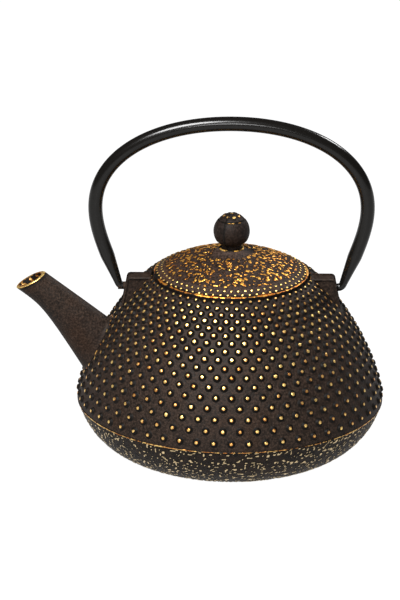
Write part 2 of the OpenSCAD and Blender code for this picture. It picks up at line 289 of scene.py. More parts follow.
def outline(curve, steps, inset=0.0):
    """Points down a curve, moved inwards by inset."""
    found = []
    for i in range(steps + 1):
        d = along_curve(curve, i / steps)
        found.append(on_curve(curve, i / steps) + inset * Vector((d.y, -d.x)))
    return found


# Meshes --------------------------------------------------------------------------------

ON_AXIS = 1e-7  # a ring with a smaller radius is one point


def new_object(name, points, faces, rub_and_shade=None, sharp=35):
    """Object from points and faces. A value a point says how much gold the cloth leaves there; short of the
    gold, it paints shade.
    """
    mesh = bpy.data.meshes.new(name)
    mesh.from_pydata([tuple(p) for p in points], [], faces)
    mesh.update()
    if rub_and_shade is not None:
        layer = mesh.attributes.new("rub_and_shade", "FLOAT", "POINT")
        layer.data.foreach_set("value", [float(v) for v in rub_and_shade])
    mesh.shade_smooth()
    mesh.set_sharp_from_angle(angle=math.radians(sharp))
    obj = bpy.data.objects.new(name, mesh)
    bpy.context.scene.collection.objects.link(obj)
    return obj


def face_outwards(obj):
    """Turns every face of a closed mesh outwards."""
    mesh = bmesh.new()
    mesh.from_mesh(obj.data)
    bmesh.ops.recalc_face_normals(mesh, faces=mesh.faces)
    mesh.to_mesh(obj.data)
    mesh.free()


def revolve(name, profile, sides, shape=None, closed=False, sharp=35):
    """Solid of revolution about Z. profile holds (r, z); shape(r, z, turn, i) gives (rise outwards, gold and
    painted-shade value).
    """
    n = len(profile)
    area = sum(a[0] * b[1] - b[0] * a[1] for a, b in zip(profile, profile[1:] + profile[:1]))
    out = -1 if area > 0 else 1
    points, rub_and_shade, rings, faces = [], [], [], []
    for i, (r, z) in enumerate(profile):
        before, after = profile[i - 1], profile[(i + 1) % n]
        d = (Vector(after) - Vector(before)).normalized()
        normal = out * Vector((-d.y, d.x))
        ring = []
        for k in range(1 if r < ON_AXIS else sides):
            turn = FULL_TURN * k / sides
            rise, value = shape(r, z, turn, i) if shape else (0, 0)
            ring.append(len(points))
            points.append(polar(r + rise * normal.x, turn, z + rise * normal.y))
            rub_and_shade.append(value)
        rings.append(ring)
    pairs = list(zip(rings, rings[1:])) + ([(rings[-1], rings[0])] if closed else [])
    for a, b in pairs:
        for k in range(sides):
            m = (k + 1) % sides
            if len(a) == 1:
                faces.append((a[0], b[m], b[k]))
            elif len(b) == 1:
                faces.append((a[k], a[m], b[0]))
            else:
                faces.append((a[k], a[m], b[m], b[k]))
    obj = new_object(name, points, faces, rub_and_shade, sharp)
    face_outwards(obj)
    return obj


def skin(name, rings, rub_and_shade=None, closed=False, sharp=35):
    """Skin through rings of points, capped at both ends unless the last ring joins the first."""
    n = len(rings[0])
    points = [p for ring in rings for p in ring]
    faces = []
    for i in range(len(rings) if closed else len(rings) - 1):
        a, b = i * n, (i + 1) % len(rings) * n
        faces += [(a + k, a + (k + 1) % n, b + (k + 1) % n, b + k) for k in range(n)]
    if not closed:
        faces += [tuple(range(n)), tuple(len(points) - n + k for k in range(n))]
    obj = new_object(name, points, faces, rub_and_shade, sharp)
    face_outwards(obj)
    return obj


def studs(name, places, profile, sides=12, sink=0.35 * MM):
    """Small domes, one at each (point, normal, scale, gold share). profile holds (radius, height, gold and
    painted-shade value).
    """
    points, faces, rub_and_shade = [], [], []
    for at, normal, scale, gold in places:
        turn = normal.to_track_quat("Z", "Y").to_matrix()
        start = len(points)
        rings = [(profile[0][0], -sink, 0)] + list(profile)
        for radius, height, value in rings:
            lone = radius < ON_AXIS
            for k in range(1 if lone else sides):
                local = polar(radius * scale, FULL_TURN * k / sides, height * scale)
                points.append(at + turn @ local)
                rub_and_shade.append(value * gold)
        for i in range(len(rings) - 1):
            a, b = start + i * sides, start + (i + 1) * sides
            for k in range(sides):
                m = (k + 1) % sides
                if rings[i + 1][0] < ON_AXIS:
                    faces.append((a + k, a + m, b))
                else:
                    faces.append((a + k, a + m, b + m, b + k))
        faces.append(tuple(start + k for k in reversed(range(sides))))
    return new_object(name, points, faces, rub_and_shade, 60)


def square_to(path, i, up, closed):
    """Two directions square to a path at its point i, the first as near to up as it can be."""
    before = path[i - 1] if i or closed else path[0]
    after = path[(i + 1) % len(path)] if i < len(path) - 1 or closed else path[-1]
    along = (after - before).normalized()
    side = (up - up.dot(along) * along).normalized()
    return side, along.cross(side)


def tube(name, path, radii, ups, sides=12, rub_and_shade=None, closed=False):
    """Round tube along a path. radii, ups (a direction square to the path) and the gold and painted-shade
    values hold one value a point.
    """
    rings, values = [], []
    turns = [FULL_TURN * k / sides for k in range(sides)]
    for i, p in enumerate(path):
        side, other = square_to(path, i, ups[i], closed)
        rings.append([p + radii[i] * (math.cos(a) * side + math.sin(a) * other) for a in turns])
        values += [rub_and_shade[i] if rub_and_shade else 0] * sides
    return skin(name, rings, values, closed, 60)


def cut_away(obj, cutter):
    """Takes the cutter's shape out of obj, and deletes the cutter."""
    step = obj.modifiers.new("cut", "BOOLEAN")
    step.operation = "DIFFERENCE"
    step.solver = "EXACT"
    step.object = cutter
    bpy.context.view_layer.update()
    cut = bpy.data.meshes.new_from_object(obj.evaluated_get(bpy.context.evaluated_depsgraph_get()))
    obj.modifiers.remove(step)
    obj.data = cut
    bpy.data.objects.remove(cutter)
    if not cut.polygons:
        raise RuntimeError(f"{obj.name} was cut away altogether")


def lumps(point, size_m, seed):
    """Smooth noise of about -1 to 1 with blotches of that size. Each seed gives other blotches."""
    return noise.noise(Vector(point) / size_m + Vector((seed, 0, 0)))


# Materials -----------------------------------------------------------------------------

# Below this value, from 0.02 up, the same value paints shade on flanks and at the feet of relief in place of
# their shadows.
GOLD_FROM = 0.5  # rub at which the gold starts to cover the lacquer


def feed(tree, node, inputs):
    """Gives sockets a value or the output that feeds them: by name, or in a list from the first on."""
    for socket, value in inputs.items() if isinstance(inputs, dict) else enumerate(inputs):
        if isinstance(value, bpy.types.NodeSocket):
            tree.links.new(value, node.inputs[socket])
        else:
            node.inputs[socket].default_value = value


def add_node(tree, kind, inputs=(), **settings):
    """Adds a node. settings are its own fields, and inputs are as feed takes them."""
    node = tree.nodes.new("ShaderNode" + kind)
    for field, value in settings.items():
        setattr(node, field, value)
    feed(tree, node, inputs)
    return node


def new_material(name):
    """Empty material with its shader, and the place on the piece in metres."""
    material = bpy.data.materials.new(name)
    material.use_nodes = True
    tree = material.node_tree
    tree.nodes.clear()
    place = add_node(tree, "TexCoord").outputs["Object"]
    shader = add_node(tree, "BsdfPrincipled")
    add_node(tree, "OutputMaterial", {"Surface": shader.outputs[0]})
    return material, tree, place, shader


def tint(tone, factor=1):
    """Linear colour made lighter or darker, with its alpha."""
    return (*(min(1, c * factor) for c in tone), 1)


def cast_iron(name, iron, gold, worn, dark_grain_and_painted_shade):
    """Cast iron, sand-cast, lacquered brown-black, with gold paste rubbed on what stands proud.

    The sand leaves a grain of about 1.1 mm, drawn coarse enough to show, and slow waves of about
    7 mm. The lacquer is a half-matt film, so it reflects little. It is rusty in patches of about
    26 mm. Painted shade, near black, darkens the flanks and feet of what stands proud in place of
    their shadows. The gold is bronze powder: it glints, thins to a browner tone at its edges and is
    never even.
    """
    material, tree, place, shader = new_material(name)
    sand, waves, flecks, broad, stains = (
        add_node(tree, "TexNoise", {"Vector": place, "Scale": 1 / (width * MM), "Detail": detail}).outputs[0]
        for width, detail in ((1.1, 3), (7, 2), (1.3, 3), (5, 2), (26, 2)))
    # One value a point: gold rubbed on what stands proud, and painted shade on flanks and feet
    rub_and_shade = add_node(tree, "Attribute", attribute_name="rub_and_shade").outputs["Fac"]

    ground = tint(iron, 0.75)
    rusty = (*(c * share for c, share in zip(iron, (1.35, 1.05, 0.75))), 1)
    for follows, start, end, cover_start, cover_end, tone in (
            (waves, 0.35, 0.65, 0, 1, tint(iron, 1.2)),
            (stains, 0.52, 0.66, 0, 0.8, rusty),
            (sand, 0.3, 0.5, 0.75, 0, tint(dark_grain_and_painted_shade)),
            (sand, 0.5, 0.7, 0, 0.8, tint(iron, 2.6)),
            # painted shade: from 0.02 up, the gold-and-shade value turns the flanks and feet of relief near
            # black in place of their shadows
            (rub_and_shade, 0.02, 0.16, 0, 1, tint(dark_grain_and_painted_shade))):
        cover = add_node(tree, "MapRange", [follows, start, end, cover_start, cover_end]).outputs[0]
        ground = add_node(tree, "Mix", {0: cover, 6: ground, 7: tone}, data_type="RGBA").outputs[2]

    ragged = add_node(tree, "MapRange", [flecks, 0.2, 0.8, -0.2, 0.2]).outputs[0]
    paste = add_node(tree, "Math", [ragged, rub_and_shade], operation="ADD").outputs[0]
    gilt = add_node(tree, "MapRange", [paste, GOLD_FROM, GOLD_FROM + 0.1, 0, 1]).outputs[0]
    deep = add_node(tree, "MapRange", [paste, GOLD_FROM, GOLD_FROM + 0.4, 0, 1.1]).outputs[0]
    faded = add_node(tree, "MapRange", [broad, 0.35, 0.65, -0.45, 0.3]).outputs[0]
    thick = add_node(tree, "Math", [deep, faded], operation="ADD", use_clamp=True).outputs[0]
    bright = add_node(tree, "Mix", {0: thick, 6: tint(worn), 7: tint(gold)}, data_type="RGBA").outputs[2]
    tone = add_node(tree, "Mix", {0: gilt, 6: ground, 7: bright}, data_type="RGBA").outputs[2]

    metal = add_node(tree, "MapRange", [gilt, 0, 1, 0, 0.85]).outputs[0]
    film = add_node(tree, "MapRange", [sand, 0.3, 0.7, 0.5, 0.7]).outputs[0]
    polish = add_node(tree, "MapRange", [gilt, 0, 1, 0, 0.24]).outputs[0]
    rough = add_node(tree, "Math", [film, polish], operation="SUBTRACT").outputs[0]
    relief = add_node(tree, "Bump", {"Height": waves, "Distance": 0.15 * MM, "Strength": 1}).outputs[0]
    relief = add_node(tree, "Bump", {"Height": sand, "Distance": 0.3 * MM, "Strength": 1,
                                     "Normal": relief}).outputs[0]
    feed(tree, shader, {"Base Color": tone, "Metallic": metal, "Roughness": rough, "Normal": relief,
                        "Specular IOR Level": 0.1})
    return material


def enamel_lining(black):
    """Vitreous enamel, fired inside the pot: black, glassy, with a slight orange peel of 3 mm."""
    material, tree, place, shader = new_material("vitreous_enamel_fired")
    peel = add_node(tree, "TexNoise", {"Vector": place, "Scale": 1 / (3 * MM), "Detail": 2}).outputs[0]
    tone = add_node(tree, "Mix", {0: peel, 6: tint(black), 7: tint(black, 2)}, data_type="RGBA").outputs[2]
    rough = add_node(tree, "MapRange", [peel, 0.3, 0.7, 0.2, 0.3]).outputs[0]
    relief = add_node(tree, "Bump", {"Height": peel, "Distance": 0.05 * MM, "Strength": 1}).outputs[0]
    feed(tree, shader, {"Base Color": tone, "Roughness": rough, "Normal": relief})
    return material


def stoved_enamel(black):
    """Mild steel bar, sprayed with stoved black enamel: half-gloss, so it carries long soft highlights.

    The spray leaves an orange peel of 1.6 mm, and fine dust of 0.7 mm that dulls it here and there.
    """
    material, tree, place, shader = new_material("steel_stoved_enamel")
    peel = add_node(tree, "TexNoise", {"Vector": place, "Scale": 1 / (1.6 * MM), "Detail": 2}).outputs[0]
    dust = add_node(tree, "TexNoise", {"Vector": place, "Scale": 1 / (0.7 * MM), "Detail": 3}).outputs[0]
    tone = add_node(tree, "Mix", {0: peel, 6: tint(black), 7: tint(black, 1.8)}, data_type="RGBA").outputs[2]
    rough = add_node(tree, "MapRange", [dust, 0.3, 0.7, 0.17, 0.24]).outputs[0]
    relief = add_node(tree, "Bump", {"Height": peel, "Distance": 0.01 * MM, "Strength": 1}).outputs[0]
    feed(tree, shader, {"Base Color": tone, "Roughness": rough, "Normal": relief, "Specular IOR Level": 0.21})
    return material


def stainless(name, steel, low, high, stretch=(1, 1, 8)):
    """Stainless steel, drawn or brushed: fine lines of about 0.25 mm run one way and blur reflections."""
    material, tree, place, shader = new_material(name)
    drawn = add_node(tree, "Mapping", {"Vector": place, "Scale": stretch}).outputs[0]
    lines = add_node(tree, "TexNoise", {"Vector": drawn, "Scale": 1 / (0.25 * MM), "Detail": 2}).outputs[0]
    stains = add_node(tree, "TexNoise", {"Vector": place, "Scale": 1 / (9 * MM), "Detail": 2}).outputs[0]
    shades = {0: stains, 6: tint(steel, 0.85), 7: tint(steel)}
    tone = add_node(tree, "Mix", shades, data_type="RGBA").outputs[2]
    rough = add_node(tree, "MapRange", [lines, 0.3, 0.7, low, high]).outputs[0]
    relief = add_node(tree, "Bump", {"Height": lines, "Distance": 0.012 * MM, "Strength": 1}).outputs[0]
    feed(tree, shader, {"Base Color": tone, "Roughness": rough, "Normal": relief, "Metallic": 1})
    return material


def opal_acrylic(white, glow):
    """Opal acrylic sheet, cast, lit from beneath: white and even, so nothing on it casts a dark shadow."""
    material, tree, place, shader = new_material("acrylic_opal_cast")
    cloud = add_node(tree, "TexNoise", {"Vector": place, "Scale": 1 / (60 * MM), "Detail": 2}).outputs[0]
    shades = {0: cloud, 6: tint(white, 0.97), 7: tint(white)}
    tone = add_node(tree, "Mix", shades, data_type="RGBA").outputs[2]
    feed(tree, shader, {"Base Color": tone, "Roughness": 0.6, "Emission Color": (1, 1, 1, 1),
                        "Emission Strength": glow})
    return material


def dress(obj, *materials):
    """Gives a piece these materials in place of its own."""
    obj.data.materials.clear()
    for material in materials:
        obj.data.materials.append(material)


def finish_piece(obj, body, slot_name, *materials):
    """Gives a new piece its materials and its body. slot_name is not used."""
    dress(obj, *materials)
    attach(obj, body)


# Pot -----------------------------------------------------------------------------------


def bowl_piece(pot):
    """Bowl from the middle of the foot up to the parting line, with speckled relief outside."""
    under = [(0, FOOT_HOLLOW), (FOOT_R - FOOT_W - 0.8 * MM, FOOT_HOLLOW), (FOOT_R - FOOT_W, 0),
             (FOOT_R - 0.8 * MM, 0)]
    outer = [tuple(p) for p in reversed(outline(BOWL, 70))]
    inner = [tuple(p) for p in outline(BOWL, 22, WALL) if p.y > FLOOR_Z + 1 * MM]
    profile = under + outer + inner + [(FOOT_R - 1 * MM, FLOOR_Z), (0, FLOOR_Z)]
    first, last = len(under), len(under) + len(outer) - 1

    def shape(r, z, turn, i):
        if not first <= i < last:
            return 0, 0
        at = polar(r, turn, z * 1.35)  # so the specks lie wider than they are high
        specks = lumps(at, pot.speck_size, 3) + 0.45 * lumps(at, pot.speck_size * 0.45, 11)
        high = smooth(specks, 0.19, 0.42) * smooth(PARTING_Z - z, 0.4 * MM, 1.2 * MM)
        high *= smooth(z, 0.6 * MM, 2 * MM)
        # The specks' flanks take the painted shade, and 0.06 darkens the whole bowl a little with the same
        # colour.
        return pot.relief * high, 0.06 + 0.85 * high

    return revolve("bowl", profile, sides=620, shape=shape)


def in_bowl(face):
    """Whether a face of the bowl is on its wall or floor inside."""
    on_wall = face.center.z > FLOOR_Z - 0.1 * MM and face.normal.xy.dot(face.center.xy) < 0
    on_floor = face.normal.z > 0.9 and face.center.z < FLOOR_Z + 1 * MM and face.center.xy.length < FOOT_R
    return on_wall or on_floor


def bell_piece():
    """Bell from the parting line up, with the recess, the ledge and the throat, hollow inside."""
    mouth = [(EDGE_R - 0.2 * MM, MOUTH_Z), (MOUTH_R, MOUTH_Z - 0.15 * MM), (MOUTH_R, SEAT_Z),
             (THROAT_R + 0.3 * MM, SEAT_Z), (THROAT_R, SEAT_Z - 0.3 * MM), (THROAT_R, SEAT_Z - SEAT_T),
             (bell_r(SEAT_Z - SEAT_T) - 1.3 * WALL, SEAT_Z - SEAT_T)]
    outer = [tuple(p) for p in reversed(outline(BELL, 64))]
    inner = [tuple(p) for p in outline(BELL, 40, WALL) if p.y < SEAT_Z - SEAT_T - 1 * MM]
    profile = [(BODY_R - 0.05 * MM, PARTING_Z)] + outer + mouth + inner + [(BODY_R - WALL, PARTING_Z)]
    edge = len(outer)

    def shape(r, z, turn, i):
        at = polar(r, turn, z)
        uneven = 0.05 * MM * lumps(at, 6 * MM, 5) if 1 < i < edge - 1 else 0
        return uneven, 0.42 + 0.2 * lumps(at, 4 * MM, 7) if edge <= i <= edge + 2 else 0

    return revolve("bell", profile, sides=288, shape=shape, closed=True)


def in_bell(face):
    """Whether a face of the bell is inside it, under the seat."""
    inwards = face.normal.xy.dot(face.center.xy) < 0 or face.normal.z < -0.5
    return inwards and face.center.z < SEAT_Z - 0.3 * MM and face.center.xy.length < BODY_R - 2 * MM


def line_inside(piece, is_inside):
    """Gives the faces inside a piece its second material."""
    for face in piece.data.polygons:
        face.material_index = int(is_inside(face))


# Spout ---------------------------------------------------------------------------------

SPOUT_WALL = 2.4 * MM
ROOT_W, LIP_W = 19 * MM, 15.2 * MM

# The spout from the side, in (x, z): its lip's tip and back, its upper and lower root, its throat
LIP = Vector((LIP_X, MOUTH_Z - 8.3 * MM))
LIP_BACK = LIP + 18.4 * MM * Vector((math.cos(math.radians(29)), math.sin(math.radians(29))))
TOP_ROOT = Vector((-bell_r(75.5 * MM), 75.5 * MM))
LOW_ROOT = Vector((-bell_r(45.5 * MM), 45.5 * MM))
THROAT_BEND = LIP + Vector((14.8, -10.8)) * MM

SUNK = 9 * MM  # how deep the spout's skin starts under the bell's
BORE_LOW, BORE_HIGH = -0.28, 0.62  # where the bore's cutter starts and ends, as shares of the spout
TOP_START = TOP_ROOT - SUNK * (LIP_BACK - TOP_ROOT).normalized()
LOW_START = LOW_ROOT - SUNK * (THROAT_BEND - LOW_ROOT).normalized()
POUR = ((LIP_BACK - TOP_ROOT).normalized() + (LIP - THROAT_BEND).normalized()) / 2


def spout_point(t, turn, inset=0.0, ahead=0.0):
    """Point of the spout's oval skin, t of the way to the lip, inset from it and moved ahead in the flow."""
    top = TOP_START.lerp(LIP_BACK, t)
    low = on_curve([LOW_START, THROAT_BEND, THROAT_BEND, LIP], t)
    across = top - low
    middle = (top + low) / 2 + ahead * POUR
    q = middle + (across.length / 2 - inset) * math.cos(turn) * across.normalized()
    width = ROOT_W + (LIP_W - ROOT_W) * t
    return Vector((q.x, (width / 2 - inset) * math.sin(turn), q.y))


def bell_frame(p):
    """Depth of p under the bell's skin, and the skin's outward normal there."""
    z = min(max(p.z, WAIST_Z), MOUTH_Z)
    n, r = bell_normal(z), math.hypot(p.x, p.y)
    return (bell_r(z) - r) * n.x, Vector((n.x * p.x / r, n.x * p.y / r, n.y))


def spout_root(pot, sides):
    """Where each line of the spout leaves the bell.

    Gives (t outside, t inside the hollow, point, flow, normal, sideways) for each line.
    """
    found, ahead = [], 0.02
    for k in range(sides):
        turn = FULL_TURN * k / sides
        t = solve(lambda x: -bell_frame(spout_point(x, turn))[0], 0, 1, 24)
        t_in = solve(lambda x: WALL - bell_frame(spout_point(x, turn, SPOUT_WALL))[0], -0.3, 1, 24)
        p = spout_point(t, turn)
        step = spout_point(t + ahead, turn) - p
        normal = bell_frame(p)[1]
        out = p - spout_point(t, turn + math.pi)
        sideways = (out - out.dot(normal) * normal).normalized()
        found.append((t + ahead * pot.fillet / step.length, t_in, p, step.normalized(), normal, sideways))
    return found


def spout_piece(pot, roots):
    """Spout with a fillet at its root, a rounded lip and its bore; its hidden end lies in the bell's wall."""
    sides, long_steps, bore_steps, round_steps = len(roots), 34, 16, 6
    turns = [FULL_TURN * k / sides for k in range(sides)]
    rings, rub_and_shade = [], []

    def ring(points, value):
        rings.append(points)
        rub_and_shade.extend(value(p) if callable(value) else value for p in points)

    for u in (0, 0.2, 0.4, 0.6, 0.8):
        v = 1 - u
        sunk = 0.3 * MM * v**3
        ring([v**2 * (p + pot.fillet * s) + 2 * u * v * p + u * u * (p + pot.fillet * g) - sunk * n
              for _, _, p, g, n, s in roots], 0)
    for i in range(long_steps + 1):
        ring([spout_point(r[0] + (1 - r[0]) * i / long_steps, a) for r, a in zip(roots, turns)],
             {long_steps: 0.5, long_steps - 1: 0.1}.get(i, 0))
    for i in range(1, round_steps):
        q = math.pi * i / round_steps
        inset, ahead = SPOUT_WALL / 2 * (1 - math.cos(q)), 0.6 * MM * math.sin(q)
        ring([spout_point(1, a, inset, ahead) for a in turns], 0.95 - 0.1 * i)
    for i in range(bore_steps + 1):
        streak = max(0, 0.56 - 0.13 * i)  # the gold runs out a little way down the bore
        ring([spout_point(1 + (r[1] - 1) * i / bore_steps, a, SPOUT_WALL) for r, a in zip(roots, turns)],
             lambda p: streak + 0.9 * lumps(p, 3 * MM, 21) if streak else 0)
    return skin("spout_tube", rings, rub_and_shade, closed=True)


def bore_cutter():
    """Solid that opens the bell's wall into the spout's bore."""
    sides, steps = 64, 24
    turns = [FULL_TURN * k / sides for k in range(sides)]
    stops = [BORE_LOW + (BORE_HIGH - BORE_LOW) * i / steps for i in range(steps + 1)]
    return skin("bore_cutter", [[spout_point(t, a, SPOUT_WALL + 0.05 * MM) for a in turns] for t in stops])


def lug_piece(name, side):
    """Lug with a rounded outline, rounded sides and the blind hole for the bail's pin."""
    top, low, corner, edge = MOUTH_Z - 0.05 * MM, PIVOT_Z - LUG_DEPTH, 2.2 * MM, 0.9 * MM
    sunk = 1.6 * MM  # how deep its back lies in the bell's wall
    round_z = top - corner

    def face(z):
        """How far out the lug's sloping face is at height z."""
        return FACE_X + (PIVOT_Z - z) * math.tan(LUG_SLOPE)

    middle = Vector((face(round_z + corner * math.sin(LUG_SLOPE)) - corner * math.cos(LUG_SLOPE), round_z))
    arc = [math.radians(90) - (math.radians(90) - LUG_SLOPE) * i / 8 for i in range(9)]
    shape = [Vector((EDGE_R + 0.1 * MM, top))]
    shape += [middle + corner * Vector((math.cos(a), math.sin(a))) for a in arc]
    shape += [Vector((face(z), z)) for z in (PIVOT_Z, PIVOT_Z - 5 * MM, low + 1 * MM)]
    shape.append(Vector((bell_r(low + 1 * MM) - sunk, low)))
    for i in range(5):
        z = low + 2 * MM + (top - low - 4 * MM) * i / 4
        n = bell_normal(z)
        shape.append(Vector((max(bell_r(z) - sunk * n.x, EDGE_R), z - sunk * n.y)))
    corners = len(shape)
    normals = []
    for i in range(corners):
        d = (shape[(i + 1) % corners] - shape[i - 1]).normalized()
        normals.append(Vector((d.y, -d.x)))
    rings = []
    for i in list(range(5)) + list(range(4, -1, -1)):
        q = math.radians(90) * i / 4
        y = (LUG_W / 2 - edge * (1 - math.sin(q))) * (-1 if len(rings) < 5 else 1)
        grow = edge * (1 - math.cos(q))
        rings.append([(side * (p.x + grow * n.x), y, p.y + grow * n.y) for p, n in zip(shape, normals)])
    obj = skin(name, rings, [0.0] * len(rings) * corners, sharp=40)
    hole = [Vector((side * x, 0, PIVOT_Z)) for x in (FACE_X - PIN_LEN - 0.6 * MM, FACE_X + 4 * MM)]
    cut_away(obj, tube("hole_cutter", hole, [PIN_R + PIN_FIT] * 2, [Vector((0, 1, 0))] * 2, sides=32))
    return obj


ROW_GROWTH = 1.063  # each step down the bell is this much longer than the one above
ROW_TURN = 0.05  # the first row's turn past the front, as a share of the pitch


def hobnail_places(pot, roots):
    """Where the hobnails stand: each row is half a pitch off the last, and the steps grow as rows widen."""
    pitch = FULL_TURN / pot.hobnails_round
    root_line = [(p + s * pot.fillet).yz for _, _, p, _, _, s in roots]
    clear = pot.hobnail_d * 0.42
    places = []
    for row in range(pot.hobnail_rows):
        z = MOUTH_Z - 0.15 * MM - pot.first_step * (ROW_GROWTH**row - 1) / (ROW_GROWTH - 1)
        r, n = bell_r(z), bell_normal(z)
        for k in range(pot.hobnails_round):
            turn = -math.pi / 2 + (k + (ROW_TURN if row % 2 == 0 else ROW_TURN - 0.5)) * pitch
            at = polar(r, turn, z)
            on_lug = abs(at.y) < LUG_W / 2 + clear and z > PIVOT_Z - LUG_DEPTH + 0.5 * MM
            near_spout = inside(at.yz, root_line) or min((at.yz - q).length for q in root_line) < clear
            if on_lug or (at.x < 0 and near_spout):
                continue
            scale = min(1, 0.72 + 0.1 * row) * (1 + 0.05 * lumps(at, 3 * MM, 31))
            places.append((at, polar(n.x, turn, n.y), scale, 1 + 0.14 * lumps(at, 9 * MM, 37)))
    return places


def inside(point, loop):
    """Whether a flat point lies inside a closed loop."""
    hit = False
    for a, b in zip(loop, loop[1:] + loop[:1]):
        if (a.y > point.y) != (b.y > point.y):
            hit ^= point.x < (b.x - a.x) * (point.y - a.y) / (b.y - a.y) + a.x
    return hit


# Profiles of the domes from foot to tip: (share of radius, share of height, gold and shade value).
# The middling values at the foot and on the flanks paint shade there in place of shadows; the top values give
# the gold tip.
HOBNAIL_SHARES = ((1, 0, 0.13), (0.86, 0.12, 0.24), (0.74, 0.36, 0.26), (0.62, 0.64, 0.28),
                  (0.48, 0.86, 0.34), (0.32, 0.97, 0.66), (0, 1, 1))
DOT_SHARES = ((1, 0, 0.1), (0.78, 0.35, 0.35), (0.5, 0.8, 0.8), (0.25, 0.96, 1), (0, 1, 1))


def dome_profile(width, height, shares):
    """Profile of a stud from (share of radius, share of height, rub)."""
    return [(width / 2 * r, height * h, rub_and_shade) for r, h, rub_and_shade in shares]


def ridge_piece(name, radius, z, half_height, proud, seed):
    """Thin raised ring, rubbed with gold and worn through here and there."""
    steps = 8
    arc = [math.pi * (i / steps - 0.5) for i in range(steps + 1)]
    crest = [(radius - 0.15 * MM + proud * math.cos(a), z + half_height * math.sin(a)) for a in arc]
    profile = [(radius - 1.2 * MM, z - half_height)] + crest + [(radius - 1.2 * MM, z + half_height)]

    def shape(r, height, turn, i):
        at = polar(r, turn, height)
        high = 1 - abs(i - 1 - steps / 2) / (steps / 2)
        gold = 0.68 + 0.35 * lumps(at, 2 * MM, seed + 2) + 0.25 * lumps(at, 40 * MM, seed + 4)
        return 0.12 * MM * high * lumps(at, 5 * MM, seed), high * gold

    return revolve(name, profile, sides=480, shape=shape, closed=True, sharp=60)


class TEAPOT_OT_pot(bpy.types.Operator):
    """Builds the pot's casting: bowl, bell, parting ridge, spout, lugs and hobnails"""

    bl_idname = "teapot.pot"
    bl_label = "Pot"

    def execute(self, context):
        pot = context.scene.teapot_pot
        body = cast_iron("cast_iron_lacquered_gold_rubbed", pot.iron, pot.gold, pot.worn, pot.dark_grain_and_painted_shade)
        thin = tuple(c * 0.5 for c in pot.speck)
        speckled = cast_iron("cast_iron_lacquered_speckled", pot.iron, pot.speck, thin, pot.dark_grain_and_painted_shade)
        lining = enamel_lining(pot.lining)
        roots = spout_root(pot, sides=96)

        bowl = bowl_piece(pot)
        finish_piece(bowl, "pot", "pot_iron", speckled, lining)
        line_inside(bowl, in_bowl)
        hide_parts("pot_bowl")

        bell = bell_piece()
        cut_away(bell, bore_cutter())
        finish_piece(bell, "pot", "pot_iron", body, lining)
        line_inside(bell, in_bell)
        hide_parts("pot_bell")

        spout = spout_piece(pot, roots)
        finish_piece(spout, "pot", "pot_iron", body)
        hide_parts("spout")

        line = ridge_piece("parting_ridge", BODY_R, PARTING_Z - 0.3 * MM, 0.55 * MM, pot.ridge, 41)
        finish_piece(line, "pot", "pot_iron", body)
        path = [p + 1.06 * pot.fillet * s for _, _, p, _, _, s in roots]
        normals = [n for _, _, _, _, n, _ in roots]
        gold = [0.46 + 0.6 * lumps(p, 3 * MM, 43) for _, _, p, _, _, _ in roots]
        edge = tube("spout_root_ridge", path, [0.4 * MM] * len(path), normals, sides=10, rub_and_shade=gold,
                    closed=True)
        finish_piece(edge, "pot", "pot_iron", body)
        for name, side in (("lug_left", -1), ("lug_right", 1)):
            finish_piece(lug_piece(name, side), "pot", "pot_iron", body)

        shape = dome_profile(pot.hobnail_d, pot.hobnail_h, HOBNAIL_SHARES)
        nails = studs("hobnails", hobnail_places(pot, roots), shape)
        finish_piece(nails, "pot", "pot_iron", body)
        return {"FINISHED"}


# Lid and knob --------------------------------------------------------------------------

RIM_TOP = FLANGE_TOP + RIM_T
DOME_RISE, BOSS_R, NECK_R = 11.5 * MM, 13.5 * MM, 5.5 * MM
RIM_ROUND = 0.8 * MM
DOME_R = LID_R - RIM_ROUND
DOME_BALL = (DOME_R**2 + DOME_RISE**2) / (2 * DOME_RISE)
LID_WALL = 3 * MM
UNDER_Z = RIM_TOP + DOME_RISE - LID_WALL - 1 * MM
SKIRT_R = MESH_R - 1.2 * MM
SKIRT_IN = SKIRT_R - 2 * MM
FLAT_R = 8.5 * MM
RIVET_R = 2.5 * MM
RIVET_FIT, KNOB_FIT = 0.08 * MM, 0.02 * MM  # the rivet turns in the lid and is pressed into the knob
DOT_ROWS = (38.9 * MM, 41.6 * MM)
BEAD_R = 6.55 * MM
MOTTLE_START = (8.5 * MM, 12.5 * MM)  # radii between which the mottled relief sets in
MOTTLE_END = (35.5 * MM, 38 * MM)  # and dies out


def dome_z(r):
    """Height of the lid's dome at radius r."""
    return RIM_TOP + DOME_RISE - DOME_BALL + math.sqrt(DOME_BALL**2 - r * r)


